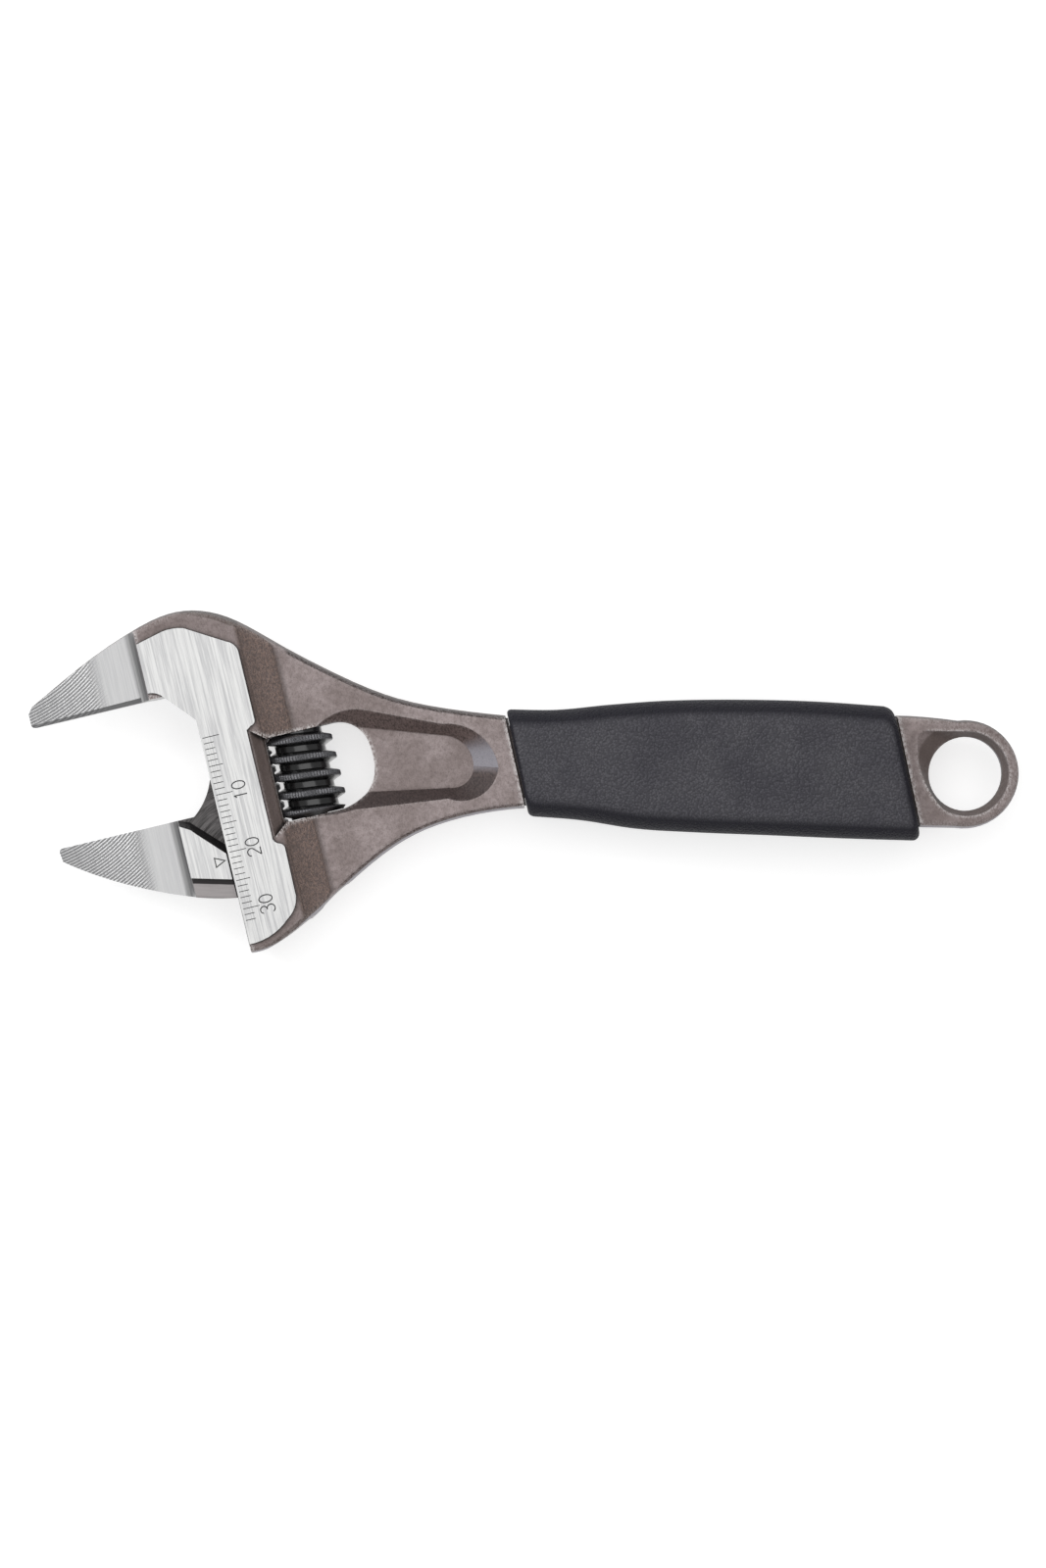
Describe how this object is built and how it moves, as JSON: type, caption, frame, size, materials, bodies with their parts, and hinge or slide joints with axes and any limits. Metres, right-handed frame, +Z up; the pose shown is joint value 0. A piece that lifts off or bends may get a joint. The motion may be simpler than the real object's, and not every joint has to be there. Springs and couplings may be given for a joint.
{
  "type": "adjustable wrench",
  "caption": "Adjustable wrench with thin, wide-opening jaws: a sliding lower jaw driven by a threaded knurl, a millimetre scale on the head, and a moulded handle with a hanging eye",
  "frame": {"origin": "under the middle of the whole wrench at rest, on the surface that it lies on", "axes": "+X along the handle from the head to the hanging eye, +Y across the wrench on the side of the fixed jaw, +Z up through the thickness; the head is turned 15 degrees to the handle, so the moving jaw opens along +X 0.259, -Y 0.966"},
  "size_m": [0.1704, 0.0586, 0.0152],
  "materials": {
    "forging": "brown-grey phosphated forging with a ground bright head flat and thin fixed jaw",
    "jaw": "ground and milled bright steel, dark textured web",
    "knurl": "gloss black worm with finely serrated crests",
    "pin": "turned steel",
    "spring": "drawn spring wire",
    "grip": "charcoal elastomer with a fine leather-like grain"
  },
  "bodies": {
    "frame": {"body": "forging", "grip": "grip", "knurl_pin": "pin", "knurl_spring": "spring"},
    "jaw": {"moving_jaw": "jaw"},
    "knurl": {"knurl": "knurl"}
  },
  "joints": [
    {"name": "jaw_slide", "type": "slide", "parent": "frame", "child": "jaw", "axis": [0.2588, -0.9659, 0], "range_m": [-0.02118, 0.0108]},
    {"name": "knurl_spin", "type": "hinge", "parent": "frame", "child": "knurl", "pos_m": [-0.03726, 0.00176, 0.0076], "axis": [0.2588, -0.9659, 0], "range_deg": [-2421, 1234.5]}
  ],
  "couplings": [
    {"joint": "knurl_spin", "follows": "jaw_slide", "rad_per_m": 1994.7}
  ]
}
